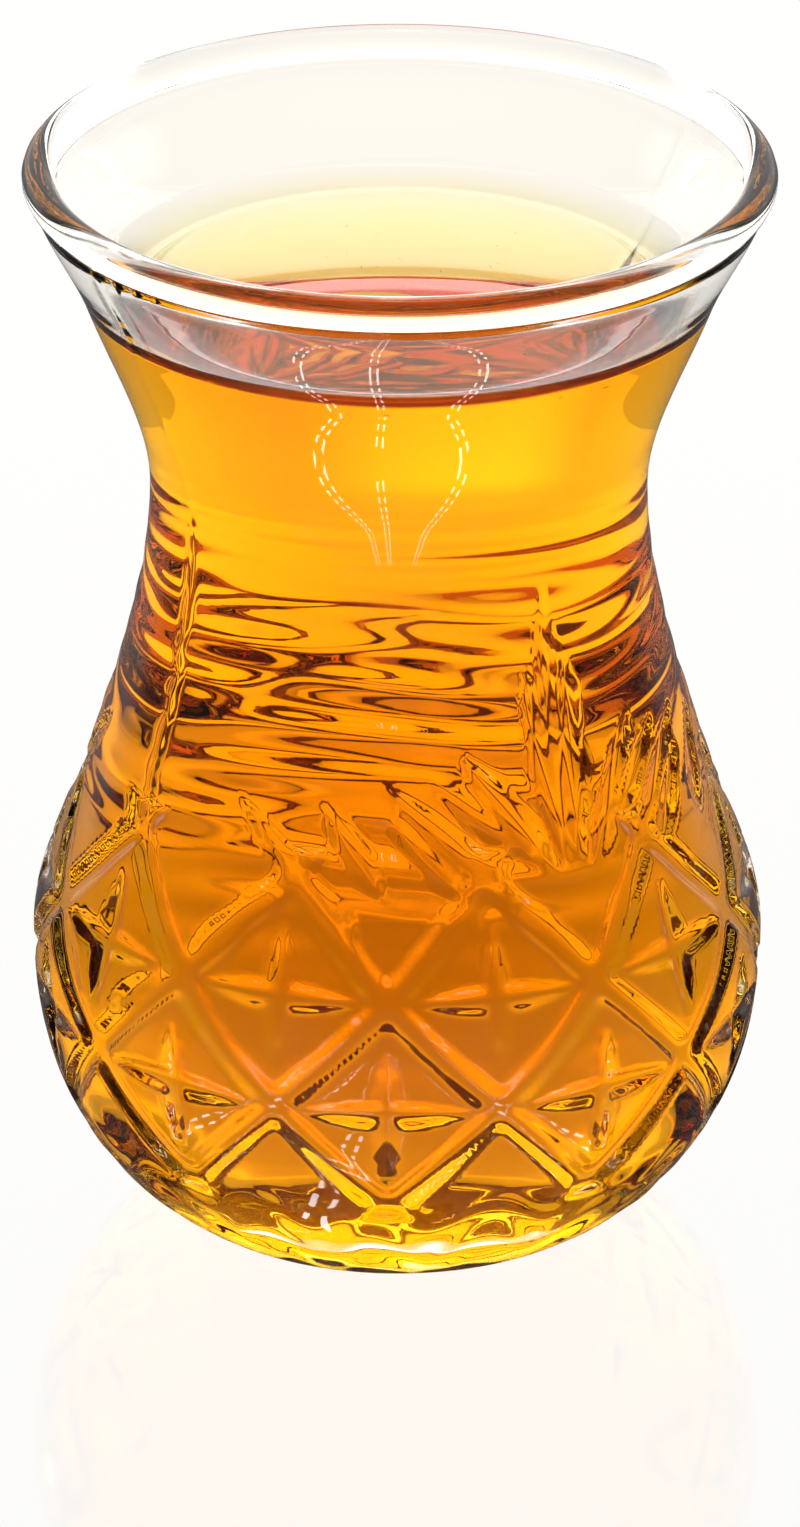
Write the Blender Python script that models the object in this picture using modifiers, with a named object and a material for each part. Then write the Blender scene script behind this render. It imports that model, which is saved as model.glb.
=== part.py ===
"""Waisted tea glass with pressed diamonds and leaf fans, filled with tea.

Metres, +Z up. The glass stands on z = 0 with its axis on Z. Angles go round from -Y towards +X.
"""

import math

import bmesh
import bpy

MM = 0.001

# Outside of the glass, millimetres
HEIGHT = 90.0
RIM_RADIUS = 29.95
LIP_RADIUS = 1.15
LIP_SLOPE = 0.42
FOOT_RADIUS = 15.5
FOOT_ROUND = 5.6
BODY_START = 0.9
BODY_START_RADIUS = 18.55
BODY_START_SLOPE = 1.547
HEEL_HEIGHT = 8.0
HEEL_RADIUS = 25.57
HEEL_SLOPE = 0.613
BELLY_HEIGHT = 23.7
BELLY_RADIUS = 29.38
SHOULDER_HEIGHT = 37.0
SHOULDER_RADIUS = 25.42
SHOULDER_SLOPE = -0.329
WAIST_HEIGHT = 62.5
WAIST_RADIUS = 19.86
FLARE_HEIGHT = 79.0
FLARE_RADIUS = 25.15
FLARE_SLOPE = 0.37

# Inside of the glass
FLOOR_HEIGHT = 3.2
BOWL_HEIGHT = 12.0
BOWL_RADIUS = 25.0
BOWL_SLOPE = 0.5
BOWL_CORNER = 0.8
BOWL_FLAT = 0.6
INNER_BELLY_HEIGHT = 24.0
INNER_BELLY_RADIUS = 26.9
SHOULDER_WALL = 2.32
NECK_WALL = 2.0

# Pattern
DIAMONDS_AROUND = 10
STEPS_PER_DIAMOND = 8
PATTERN_START = 10.64
PATTERN_STEP = 2.33
LATTICE_ROWS = 12
PATTERN_ROWS = 20
BAND_DEPTH = 0.45
CROSS_DEPTH = 0.28
CROSS_REACH = 3
CROWN_HEIGHT = 0.12
LEAF_DEPTH = 0.32
FAN_COLUMNS = (8, 48)
# Leaf grooves beside the middle of a fan, each as first column, first row, columns out and rows up
LEAVES = ((0, 12, 0, 7), (1, 12, 4, 4), (4, 12, 4, 4), (12, 12, 2, 2))

# Tea
TEA_GAP = 0.3
TEA_LEVEL = 77.9
MENISCUS_ANGLE = 50.0
MENISCUS_TILTS = (0.5, 2.0, 6.0, 14.0, 26.0, 38.0)
PULL_LENGTH = 2.7

COLUMNS = DIAMONDS_AROUND * STEPS_PER_DIAMOND
TEA_STEPS = COLUMNS // 2


def clear_scene():
    """Remove what the new file came with."""
    for obj in list(bpy.data.objects):
        bpy.data.objects.remove(obj, do_unlink=True)


def new_collection(name):
    """A collection linked to the scene."""
    made = bpy.data.collections.new(name)
    bpy.context.scene.collection.children.link(made)
    return made


def material(name, colour, roughness, metallic=0.0, clear=0.0, index=1.5):
    """A plain finish for one node."""
    made = bpy.data.materials.new(name)
    made.use_nodes = True
    shader = made.node_tree.nodes["Principled BSDF"]
    shader.inputs["Base Color"].default_value = (*colour, 1.0)
    shader.inputs["Roughness"].default_value = roughness
    shader.inputs["Metallic"].default_value = metallic
    shader.inputs["Transmission Weight"].default_value = clear
    shader.inputs["IOR"].default_value = index
    made.diffuse_color = (*colour, 1.0 - 0.65 * clear)
    return made


def curve_between(low, high, z):
    """Radius at z on the smooth curve from one (height, radius, slope) station to the next."""
    span = high[0] - low[0]
    t = (z - low[0]) / span
    square, cube = t * t, t * t * t
    radius = low[1] * (2 * cube - 3 * square + 1) + high[1] * (3 * square - 2 * cube)
    return radius + span * (low[2] * (cube - 2 * square + t) + high[2] * (cube - square))


def along(stations, z):
    """Radius at height z on a row of stations."""
    for low, high in zip(stations, stations[1:]):
        if z <= high[0]:
            return curve_between(low, high, z)
    return stations[-1][1]


def lip_centre():
    """Radius and height of the middle of the rounded lip."""
    return RIM_RADIUS - LIP_RADIUS, HEIGHT - LIP_RADIUS


def lip_point(angle):
    """Point on the lip, with the angle in radians up from straight out."""
    radius, height = lip_centre()
    return radius + LIP_RADIUS * math.cos(angle), height + LIP_RADIUS * math.sin(angle)


def lip_start():
    """Angle at which the lip leaves the outer wall."""
    return -math.atan(LIP_SLOPE)


def outer_stations():
    """The outside of the body from above the foot to the lip."""
    radius, height = lip_point(lip_start())
    return (
        (BODY_START, BODY_START_RADIUS, BODY_START_SLOPE),
        (HEEL_HEIGHT, HEEL_RADIUS, HEEL_SLOPE),
        (BELLY_HEIGHT, BELLY_RADIUS, 0.0),
        (SHOULDER_HEIGHT, SHOULDER_RADIUS, SHOULDER_SLOPE),
        (WAIST_HEIGHT, WAIST_RADIUS, 0.0),
        (FLARE_HEIGHT, FLARE_RADIUS, FLARE_SLOPE),
        (height, radius, LIP_SLOPE),
    )


def inner_stations():
    """The inside of the body from the top of the bowl to the lip."""
    radius, height = lip_point(lip_start() + math.pi)
    return (
        (BOWL_HEIGHT, BOWL_RADIUS, BOWL_SLOPE),
        (INNER_BELLY_HEIGHT, INNER_BELLY_RADIUS, 0.0),
        (SHOULDER_HEIGHT, SHOULDER_RADIUS - SHOULDER_WALL, SHOULDER_SLOPE),
        (WAIST_HEIGHT, WAIST_RADIUS - NECK_WALL, 0.0),
        (FLARE_HEIGHT, FLARE_RADIUS - NECK_WALL, FLARE_SLOPE),
        (height, radius, LIP_SLOPE),
    )


def bowl_point(t):
    """Point on the round bottom of the inside: t is 0 at the top of the bowl and 1 on the axis."""
    drop = (BOWL_HEIGHT - FLOOR_HEIGHT) * BOWL_CORNER
    corner = BOWL_RADIUS - BOWL_SLOPE * drop, BOWL_HEIGHT - drop
    points = ((BOWL_RADIUS, BOWL_HEIGHT), corner, (BOWL_RADIUS * BOWL_FLAT, FLOOR_HEIGHT), (0.0, FLOOR_HEIGHT))
    weights = ((1 - t) ** 3, 3 * t * (1 - t) ** 2, 3 * t * t * (1 - t), t**3)
    radius = sum(weight * point[0] for weight, point in zip(weights, points))
    height = sum(weight * point[1] for weight, point in zip(weights, points))
    return radius, height


def inner_curve(top, steps, bowl_steps):
    """Points of the inside from height top down to the axis."""
    stations = inner_stations()
    drop = (top - BOWL_HEIGHT) / steps
    walls = [(along(stations, top - drop * k), top - drop * k) for k in range(steps)]
    return walls + [bowl_point(k / bowl_steps) for k in range(bowl_steps + 1)]


def line_distance(value):
    """Distance to the nearest multiple of a diamond's width."""
    rest = value % STEPS_PER_DIAMOND
    return min(rest, STEPS_PER_DIAMOND - rest)


def cross_depth(column, row):
    """Depth of the upright cross in the middle of a diamond."""
    for first, middle in ((0, 4), (4, 8)):
        across = line_distance(column - first)
        up = abs(row - middle)
        if across == 0 and up < CROSS_REACH or up == 0 and across < CROSS_REACH:
            return CROSS_DEPTH * (1 - max(across, up) / (CROSS_REACH + 1))
        if across == 1 and up == 1:
            return -CROWN_HEIGHT
    return 0.0


def leaf_depth(column, row):
    """Depth of the leaf grooves, which mirror about the middle of each fan."""
    depth = 0.0
    for fan in FAN_COLUMNS:
        turn = (column - fan + COLUMNS // 2) % COLUMNS - COLUMNS // 2
        for start, low, out, up in LEAVES:
            climb = row - low
            if 0 <= climb <= up and abs(turn) == start + out * climb / up:
                depth = max(depth, LEAF_DEPTH * (1 - abs(2 * climb / up - 0.8) / 1.6))
    return depth


def relief(column, row):
    """How far the surface lies inside the plain turned shape at a point of the pattern's grid."""
    if row < 0 or row > PATTERN_ROWS:
        return 0.0
    if row <= LATTICE_ROWS and min(line_distance(column + row), line_distance(column - row)) == 0:
        return BAND_DEPTH
    if row < LATTICE_ROWS and cross_depth(column, row):
        return cross_depth(column, row)
    return leaf_depth(column, row)


def glass_profile():
    """Points of the whole wall: up the inside from the axis, over the lip and down the outside to the axis."""
    top = inner_stations()[-1][0]
    points = list(reversed(inner_curve(top, 14, 6)))
    points += [lip_point(lip_start() + math.pi * (1 - k / 6)) for k in range(1, 6)]
    stations = outer_stations()
    lip = stations[-1][0]
    last = PATTERN_START + PATTERN_STEP * PATTERN_ROWS
    heights = [lip + (last - lip) * k / 8 for k in range(8)]
    heights += [PATTERN_START + PATTERN_STEP * row for row in range(PATTERN_ROWS, -2, -1)]
    heights += [5.75, 3.3, BODY_START]
    points += [(along(stations, z), z) for z in heights]
    tilt = math.atan(BODY_START_SLOPE)
    for k in (2, 1, 0):
        turn = (math.pi / 2 - tilt) * k / 3
        points.append((FOOT_RADIUS + FOOT_ROUND * math.sin(turn), FOOT_ROUND * (1 - math.cos(turn))))
    return points + [(0.0, 0.0)]


def turned(name, profile, steps, collection):
    """An object that turns a profile of (radius, height) points round Z."""
    points = [(radius * MM, 0.0, height * MM) for radius, height in profile]
    data = bpy.data.meshes.new(name)
    data.from_pydata(points, [(k, k + 1) for k in range(len(points) - 1)], [])
    made = bpy.data.objects.new(name, data)
    collection.objects.link(made)
    screw = made.modifiers.new("turn", "SCREW")
    screw.axis = "Z"
    screw.angle = 2 * math.pi
    screw.steps = steps
    screw.render_steps = steps
    screw.use_smooth_shade = True
    screw.use_merge_vertices = True
    screw.merge_threshold = 0.00005
    return made


def applied(made):
    """Turn the object's evaluated shape into its own plain mesh."""
    graph = bpy.context.evaluated_depsgraph_get()
    old = made.data
    made.data = bpy.data.meshes.new_from_object(made.evaluated_get(graph))
    made.data.name = made.name
    made.modifiers.clear()
    bpy.data.meshes.remove(old)


def grid_place(vertex):
    """(column, row) of a vertex of the outside that lies on the pattern's grid, or None."""
    radius = math.hypot(vertex.co.x, vertex.co.y) / MM
    height = vertex.co.z / MM
    row = (height - PATTERN_START) / PATTERN_STEP
    if abs(row - round(row)) > 0.001 or not -1.5 < row < PATTERN_ROWS + 0.5:
        return None
    if abs(radius - along(outer_stations(), height)) > 0.05:
        return None
    column = math.atan2(vertex.co.x, -vertex.co.y) / (2 * math.pi) * COLUMNS
    return round(column) % COLUMNS, round(row)


def splits_rising(column, row):
    """Whether the quad that starts here is split along the diagonal that rises with the angle."""
    if row < LATTICE_ROWS:
        return line_distance(column - row) <= line_distance(column + 1 + row)
    near = min(FAN_COLUMNS, key=lambda fan: abs((column - fan + COLUMNS // 2) % COLUMNS - COLUMNS // 2))
    return (column - near) % COLUMNS < COLUMNS // 2


def press_pattern(glass):
    """Press the diamonds and the leaves into the turned glass, and fold its quads along their lines."""
    mesh = bmesh.new()
    mesh.from_mesh(glass.data)
    places = {}
    for vertex in mesh.verts:
        found = grid_place(vertex)
        if found is not None:
            places[vertex] = found
    for vertex, (column, row) in places.items():
        radius = math.hypot(vertex.co.x, vertex.co.y)
        shrink = 1 - relief(column, row) * MM / radius
        vertex.co.x *= shrink
        vertex.co.y *= shrink
    for face in list(mesh.faces):
        if len(face.verts) != 4 or any(vertex not in places for vertex in face.verts):
            continue
        corners = {places[vertex]: vertex for vertex in face.verts}
        row = min(place[1] for place in corners)
        columns = {place[0] for place in corners}
        column = COLUMNS - 1 if columns == {0, COLUMNS - 1} else min(columns)
        after = (column + 1) % COLUMNS
        if splits_rising(column, row):
            ends = corners[column, row], corners[after, row + 1]
        else:
            ends = corners[after, row], corners[column, row + 1]
        bmesh.utils.face_split(face, *ends)
    mesh.to_mesh(glass.data)
    mesh.free()


def build_glass(collection):
    """The whole glass as one closed body: a turned wall with the pattern pressed into its outside."""
    glass = turned("glass", glass_profile(), COLUMNS, collection)
    applied(glass)
    press_pattern(glass)
    glass.data.shade_smooth()
    glass.data.materials.append(material("clear_glass", (0.93, 0.95, 0.94), 0.03, clear=1.0))
    return glass


def meniscus_rise(tilt):
    """Height over the level at which the tea's surface leans by tilt degrees."""
    return 2 * PULL_LENGTH * math.sin(math.radians(tilt) / 2)


def meniscus_back(tilt):
    """Distance from that place out to the edge, added up in small steps of tilt."""
    steps = 200
    total = 0.0
    for k in range(steps):
        lean = math.radians(tilt + (MENISCUS_ANGLE - tilt) * (k + 0.5) / steps)
        total += PULL_LENGTH * math.cos(lean / 2) / math.tan(lean)
    return total * math.radians(MENISCUS_ANGLE - tilt) / steps


def tea_profile():
    """Points of the tea from the middle of its surface, out over the meniscus and down to the axis."""
    edge_height = TEA_LEVEL + meniscus_rise(MENISCUS_ANGLE)
    wall = inner_curve(edge_height, 13, 6)
    edge = wall[0][0] - TEA_GAP
    surface = [(0.0, TEA_LEVEL)]
    surface += [(edge - meniscus_back(tilt), TEA_LEVEL + meniscus_rise(tilt)) for tilt in MENISCUS_TILTS]
    points = surface + [(edge, edge_height)]
    for before, point, after in zip(wall, wall[1:], wall[2:]):
        run = math.hypot(after[0] - before[0], after[1] - before[1])
        inward = (after[1] - before[1]) / run, (before[0] - after[0]) / run
        points.append((point[0] + TEA_GAP * inward[0], point[1] + TEA_GAP * inward[1]))
    points.append((0.0, FLOOR_HEIGHT + TEA_GAP))
    return points


def build_tea(collection):
    """The tea as a turned solid just clear of the inner wall."""
    tea = turned("tea", tea_profile(), TEA_STEPS, collection)
    tea.data.materials.append(material("tea_amber", (0.80, 0.36, 0.03), 0.05, clear=0.9, index=1.33))
    return tea


def main():
    clear_scene()
    collection = new_collection("tea_glass")
    build_glass(collection)
    build_tea(collection)


main()
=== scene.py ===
"""Looks of a waisted glass of tea: clear pressed glass round amber tea, on a glossy white table.

Sizes of the object are in millimetres until a mesh is made, and those of the studio are in metres.
Angles are in degrees round from -Y towards +X.
"""

from __future__ import annotations

import logging
import math
from dataclasses import dataclass, field
from enum import Enum

import bpy
import numpy as np
from mathutils import Euler, Matrix, Vector


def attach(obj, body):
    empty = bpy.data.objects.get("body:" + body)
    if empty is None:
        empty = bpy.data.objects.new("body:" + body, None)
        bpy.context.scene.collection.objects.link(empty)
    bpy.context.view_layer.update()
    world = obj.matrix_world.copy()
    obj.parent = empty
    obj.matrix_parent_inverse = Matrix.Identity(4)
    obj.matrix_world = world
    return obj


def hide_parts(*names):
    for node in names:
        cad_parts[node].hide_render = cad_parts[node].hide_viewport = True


MM = 0.001
WHITE = (1.0, 1.0, 1.0)
LOG = logging.getLogger("tea_glass")

Socket = bpy.types.NodeSocket
Colour = tuple[float, float, float]
Pair = tuple[float, float]

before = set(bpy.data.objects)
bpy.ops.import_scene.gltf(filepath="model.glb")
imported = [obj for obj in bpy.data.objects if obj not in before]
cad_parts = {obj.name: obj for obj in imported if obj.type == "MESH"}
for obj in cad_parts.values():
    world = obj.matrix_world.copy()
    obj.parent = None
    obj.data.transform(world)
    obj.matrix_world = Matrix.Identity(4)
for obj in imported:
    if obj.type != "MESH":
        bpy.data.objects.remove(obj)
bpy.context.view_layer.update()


class CutForm(Enum):
    """How the width of a cut runs along it, as the power that its open share is raised to."""

    LENS = 1.0
    BAR = 0.35
    DROP = 0.6


@dataclass(frozen=True)
class Station:
    """One place on a wall's profile, with its slope as the radius gained in a unit of height."""

    height: float
    radius: float
    slope: float


@dataclass(frozen=True)
class WallCurve:
    """A smooth profile through a row of stations."""

    stations: tuple[Station, ...]

    def radius_at(self, heights: np.ndarray) -> np.ndarray:
        """Read the radius at heights.

        Args:
            heights: Heights between the first and the last station.

        Returns:
            The radius at each height.
        """
        table = np.array([[place.height, place.radius, place.slope] for place in self.stations])
        index = np.searchsorted(table[:, 0], heights, side="right") - 1
        index = np.clip(index, 0, len(table) - 2)
        low, high = table[index], table[index + 1]
        span = high[..., 0] - low[..., 0]
        t = (heights - low[..., 0]) / span
        square, cube = t * t, t * t * t
        ends = low[..., 1] * (2 * cube - 3 * square + 1) + high[..., 1] * (3 * square - 2 * cube)
        bend = low[..., 2] * (cube - 2 * square + t) + high[..., 2] * (cube - square)
        return ends + span * bend


@dataclass(frozen=True)
class GlassShape:
    """The plain turned shape of the glass, without its pattern."""

    height: float = 90.0
    rim_radius: float = 29.95
    lip_radius: float = 1.35
    lip_slope: float = 0.42
    lip_out: float = 0.25
    lip_in: float = 0.70
    lip_blend: float = 1.1
    foot_radius: float = 15.5
    foot_round: float = 5.6
    foot_flat: float = 8.0
    floor_height: float = 3.2
    bowl_height: float = 12.0
    bowl_radius: float = 25.0
    bowl_slope: float = 0.5
    bowl_side: float = 0.8
    bowl_flat: float = 0.6
    outer_stations: tuple[Station, ...] = (
        Station(0.9, 18.55, 1.547),
        Station(8.0, 25.57, 0.613),
        Station(23.7, 29.38, 0.0),
        Station(37.0, 25.42, -0.329),
        Station(62.5, 19.86, 0.0),
        Station(79.0, 25.15, 0.37),
    )
    inner_stations: tuple[Station, ...] = (
        Station(24.0, 26.9, 0.0),
        Station(37.0, 23.1, -0.329),
        Station(62.5, 17.86, 0.0),
        Station(79.0, 23.3, 0.39),
    )

    def lip_point(self, angle: float) -> Pair:
        """Find a point on the round lip.

        Args:
            angle: Radians up from straight out.

        Returns:
            Its radius and height.
        """
        return (
            self.rim_radius - self.lip_radius + self.lip_radius * math.cos(angle),
            self.height - self.lip_radius + self.lip_radius * math.sin(angle),
        )

    def lip_ends(self) -> Pair:
        """Find the angles, in radians, at which the lip meets the outer and the inner wall."""
        lean = math.atan(self.lip_slope)
        outer = math.acos(1 - self.lip_out / self.lip_radius)
        inner = math.acos(1 - self.lip_in / self.lip_radius)
        return -lean - outer, math.pi - lean + inner

    def neck_end(self, angle: float) -> tuple[Station, Station]:
        """Find where a wall runs into the lip.

        Args:
            angle: Radians at which the wall meets the lip.

        Returns:
            A place on the straight wall below the lip, and the place where it meets the lip.
        """
        radius, height = self.lip_point(angle)
        low_radius = radius - self.lip_slope * self.lip_blend
        low = Station(height - self.lip_blend, low_radius, self.lip_slope)
        return low, Station(height, radius, -math.tan(angle))

    def outer(self) -> WallCurve:
        """Draw the outside from above the foot to the lip."""
        return WallCurve((*self.outer_stations, *self.neck_end(self.lip_ends()[0])))

    def inner(self) -> WallCurve:
        """Draw the inside from the top of the bowl to the lip."""
        bowl = Station(self.bowl_height, self.bowl_radius, self.bowl_slope)
        return WallCurve((bowl, *self.inner_stations, *self.neck_end(self.lip_ends()[1])))

    def bowl(self, t: np.ndarray) -> tuple[np.ndarray, np.ndarray]:
        """Follow the round bottom of the inside.

        Args:
            t: 0 at the top of the bowl and 1 on the axis.

        Returns:
            The radii and the heights.
        """
        drop = (self.bowl_height - self.floor_height) * self.bowl_side
        turn_radius = self.bowl_radius - self.bowl_slope * drop
        radii = (self.bowl_radius, turn_radius, self.bowl_radius * self.bowl_flat, 0.0)
        levels = (self.bowl_height, self.bowl_height - drop, self.floor_height, self.floor_height)
        weights = ((1 - t) ** 3, 3 * t * (1 - t) ** 2, 3 * t * t * (1 - t), t**3)
        radius = sum(weight * value for weight, value in zip(weights, radii))
        height = sum(weight * value for weight, value in zip(weights, levels))
        return radius, height


@dataclass(frozen=True)
class Cut:
    """A straight leaf-shaped groove between two places on the outside.

    Each end is an angle out from the middle of the fan, in degrees, and a height. The last two
    sizes are the powers that shape the groove's flanks and its ends.
    """

    start: Pair
    end: Pair
    width: float
    depth: float
    form: CutForm = CutForm.LENS
    flanks: float = 0.9
    ends: float = 0.5

    def depth_at(
        self, turn: np.ndarray, height: np.ndarray, radius: np.ndarray, widen: float
    ) -> np.ndarray:
        """Work out the groove's depth.

        Args:
            turn: Angles out from the middle of the fan, in degrees.
            height: Heights of the same points.
            radius: Radius of the wall at the same points.
            widen: How many times its own width the groove is cut.

        Returns:
            The depth at each point, which is 0 outside the groove.
        """
        middle = math.radians((self.start[0] + self.end[0]) / 2)
        above = height - (self.start[1] + self.end[1]) / 2
        across = (np.radians(turn) - middle) * radius
        mean_radius = float(np.mean(radius[np.abs(above) < 1.0]))
        run = math.radians(self.end[0] - self.start[0]) * mean_radius
        rise = self.end[1] - self.start[1]
        length = math.hypot(run, rise)
        along = (across * run + above * rise) / length**2 + 0.5
        off = (across * rise - above * run) / length
        open_share = np.clip(4 * along * (1 - along), 0, 1) ** self.form.value
        half = np.maximum(self.width * widen / 2 * open_share, 1e-6)
        share = np.clip(1 - (off / half) ** 2, 0, 1)
        return self.depth * share**self.flanks * open_share**self.ends


@dataclass(frozen=True)
class Zone:
    """A stretch of heights that something grows into and fades out of."""

    low: float
    growth: float
    high: float
    fade: float
    above: float = 0.0

    def share(self, height: np.ndarray) -> np.ndarray:
        """Give 0 below the zone, 1 in it, and at least the share above it over its top."""
        grown = np.clip((height - self.low) / self.growth, 0, 1)
        return grown * np.clip((self.high - height) / self.fade, self.above, 1)


@dataclass(frozen=True)
class Ripple:
    """One set of level waves round the wall.

    They rise by radians a millimetre, and bend up and down by radians, so often round the wall.
    """

    rise: float
    warp: float
    around: int
    shift: float

    def wave(self, turn: np.ndarray, height: np.ndarray) -> np.ndarray:
        """Read the wave, from -1 to 1, at angles in radians and heights."""
        return np.sin(self.rise * height + self.warp * np.sin(self.around * turn + self.shift))


@dataclass(frozen=True)
class Pattern:
    """The pressed pattern: a lattice of diamonds, a cross in each, two leaf fans, and two seams.

    The lattice's reach and margin, and the fade at the foot, are in diamonds up from its first
    corners.
    """

    diamonds: int = 10
    first_height: float = 10.64
    diamond_height: float = 18.64
    lattice_reach: float = 1.5
    lattice_margin: float = 0.09
    foot_fade: Pair = (-0.07, -0.005)
    band_half: float = 1.25
    band_floor: float = 0.55
    band_depth: float = 0.48
    corner_round: float = 1.3
    cross_across: float = 6.6
    cross_up: float = 5.2
    cross_half: float = 1.25
    cross_depth: float = 0.62
    fans: Pair = (36.0, 216.0)
    seam_turn: float = 90.0
    seam_half: float = 0.45
    seam_rise: float = 0.16
    seam_zone: Zone = Zone(38.5, 1.5, 66.0, 6.0, 0.45)
    ripple_depth: float = 0.36
    ripple_aside: float = 0.25
    ripple_zone: Zone = Zone(30.0, 8.0, 62.0, 8.0)
    ripples: tuple[Ripple, ...] = (
        Ripple(1.30, 1.7, 2, 0.4),
        Ripple(0.70, 1.5, -3, 2.1),
        Ripple(1.85, 2.6, 3, 5.2),
    )
    foot_ripple_depth: float = 0.038
    foot_zone: Zone = Zone(1.0, 1.5, 12.0, 3.0)
    foot_ripples: tuple[Ripple, ...] = (Ripple(0.9, 2.6, 11, 1.1), Ripple(1.5, 2.2, -17, 3.9))
    leaf_widen: float = 1.6
    leaf_deepen: float = 1.5
    leaf_calm: float = 0.15
    cuts: tuple[Cut, ...] = (
        Cut((0, 38.0), (0, 60.0), 2.0, 0.30),
        Cut((1.0, 37.5), (5.2, 54.5), 2.0, 0.34),
        Cut((3.0, 37.0), (21.0, 48.0), 2.0, 0.32),
        Cut((7.0, 40.5), (19.5, 47.2), 1.3, 0.26),
        Cut((8.0, 39.5), (28.5, 46.5), 1.6, 0.26),
        Cut((12.0, 35.8), (37.0, 46.0), 2.0, 0.32),
        Cut((21.0, 36.8), (35.0, 43.0), 1.6, 0.30, CutForm.DROP),
        Cut((0.8, 30.6), (13.0, 36.6), 1.2, 0.28, CutForm.BAR),
        Cut((36.5, 37.0), (48.5, 44.0), 1.6, 0.28),
        Cut((36.0, 30.4), (65.0, 43.6), 2.0, 0.32),
        Cut((41.0, 34.0), (46.5, 36.4), 1.2, 0.24, CutForm.DROP),
        Cut((58.0, 37.2), (71.5, 30.8), 1.3, 0.30, CutForm.BAR),
        Cut((76.0, 29.0), (85.5, 24.4), 1.2, 0.28, CutForm.DROP),
    )

    def leaf_depth(
        self, angle: np.ndarray, height: np.ndarray, radius: np.ndarray
    ) -> np.ndarray:
        """Work out how deep the leaf cuts are, less the rise of the seams.

        Args:
            angle: Angles round the glass, in degrees.
            height: Heights of the same points.
            radius: Radius of the wall at the same points.

        Returns:
            The depth at each point.
        """
        depth = np.zeros_like(height)
        for fan in self.fans:
            turn = np.abs((angle - fan + 180) % 360 - 180)
            for cut in self.cuts:
                groove = cut.depth_at(turn, height, radius, self.leaf_widen)
                depth = np.maximum(depth, self.leaf_deepen * groove)
            off = np.radians(turn - self.seam_turn) * radius
            seam = self.seam_rise * np.exp(-((off / self.seam_half) ** 2))
            depth = depth - seam * self.seam_zone.share(height)
        return depth

    def ripple(self, angle: np.ndarray, height: np.ndarray) -> np.ndarray:
        """Work out the soft unevenness that pressing left on the shoulder and above the foot.

        Args:
            angle: Angles round the glass, in degrees.
            height: Heights of the same points.

        Returns:
            The depth at each point, which is least at the sides so that the outline stays even.
        """
        turn = np.radians(angle)
        aside = self.ripple_aside + (1 - self.ripple_aside) * np.cos(turn) ** 2
        shoulder = sum(ripple.wave(turn, height) for ripple in self.ripples)
        shoulder = self.ripple_depth / len(self.ripples) * shoulder
        shoulder = shoulder * (self.ripple_zone.share(height) * aside)
        foot = sum(ripple.wave(turn, height) for ripple in self.foot_ripples)
        return shoulder + self.foot_ripple_depth * foot * self.foot_zone.share(height)


class TreeSketch:
    """A short way to write a node tree's sums."""

    def __init__(self, tree: bpy.types.NodeTree) -> None:
        """Keep the tree."""
        self.tree = tree

    def add(self, kind: str) -> bpy.types.Node:
        """Add a node of the given kind."""
        return self.tree.nodes.new(kind)

    def link(self, source: Socket, target: Socket) -> None:
        """Join two sockets."""
        self.tree.links.new(source, target)

    def fill(self, place: Socket, value: Socket | float | tuple[float, ...]) -> None:
        """Give a socket a number, a vector or another socket's result."""
        if isinstance(value, (int, float, tuple)):
            place.default_value = value
        else:
            self.link(value, place)

    def math(self, operation: str, *values: Socket | float) -> Socket:
        """Add one Math node.

        Args:
            operation: The node's operation.
            values: A socket or a number for each of its inputs.

        Returns:
            The socket of the result.
        """
        node = self.add("ShaderNodeMath")
        node.operation = operation
        for place, value in zip(node.inputs, values):
            self.fill(place, value)
        return node.outputs[0]

    def ease(
        self, value: Socket, low: Socket | float, high: Socket | float, ends: Pair = (0.0, 1.0)
    ) -> Socket:
        """Go smoothly from one number to another.

        Args:
            value: What decides how far the result has gone.
            low: The value at which it starts.
            high: The value at which it ends.
            ends: The numbers that it starts from and ends at.

        Returns:
            The socket of the result.
        """
        node = self.add("ShaderNodeMapRange")
        node.interpolation_type = "SMOOTHSTEP"
        names = ("Value", "From Min", "From Max", "To Min", "To Max")
        for name, given in zip(names, (value, low, high, *ends)):
            self.fill(node.inputs[name], given)
        return node.outputs["Result"]


class PressSketch(TreeSketch):
    """A Geometry Nodes tree with a geometry going in and out."""

    def __init__(self, name: str) -> None:
        """Start the tree."""
        super().__init__(bpy.data.node_groups.new(name, "GeometryNodeTree"))
        faces = self.tree.interface
        for way in ("INPUT", "OUTPUT"):
            faces.new_socket("Geometry", in_out=way, socket_type="NodeSocketGeometry")
        self.entry = self.add("NodeGroupInput")
        self.leave = self.add("NodeGroupOutput")

    def size(self, name: str, value: float) -> Socket:
        """Add a named number to the tree's inputs and give its socket inside the tree."""
        faces = self.tree.interface
        socket = faces.new_socket(name, in_out="INPUT", socket_type="NodeSocketFloat")
        socket.default_value = value
        return self.entry.outputs[name]

    def attribute(self, name: str) -> Socket:
        """Read a number that the mesh carries at each point."""
        node = self.add("GeometryNodeInputNamedAttribute")
        node.data_type = "FLOAT"
        node.inputs["Name"].default_value = name
        return node.outputs["Attribute"]

    def square(self, value: Socket) -> Socket:
        """Multiply a number by itself."""
        return self.math("MULTIPLY", value, value)

    def dome(self, value: Socket) -> Socket:
        """Give 1 where a number is 0, falling roundly to 0 where it is 1 or -1."""
        return self.math("MAXIMUM", self.math("SUBTRACT", 1.0, self.square(value)), 0.0)

    def past_whole(self, value: Socket) -> Socket:
        """Find how far a number is past the nearest whole one."""
        return self.math("SUBTRACT", value, self.math("ROUND", value))


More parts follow.
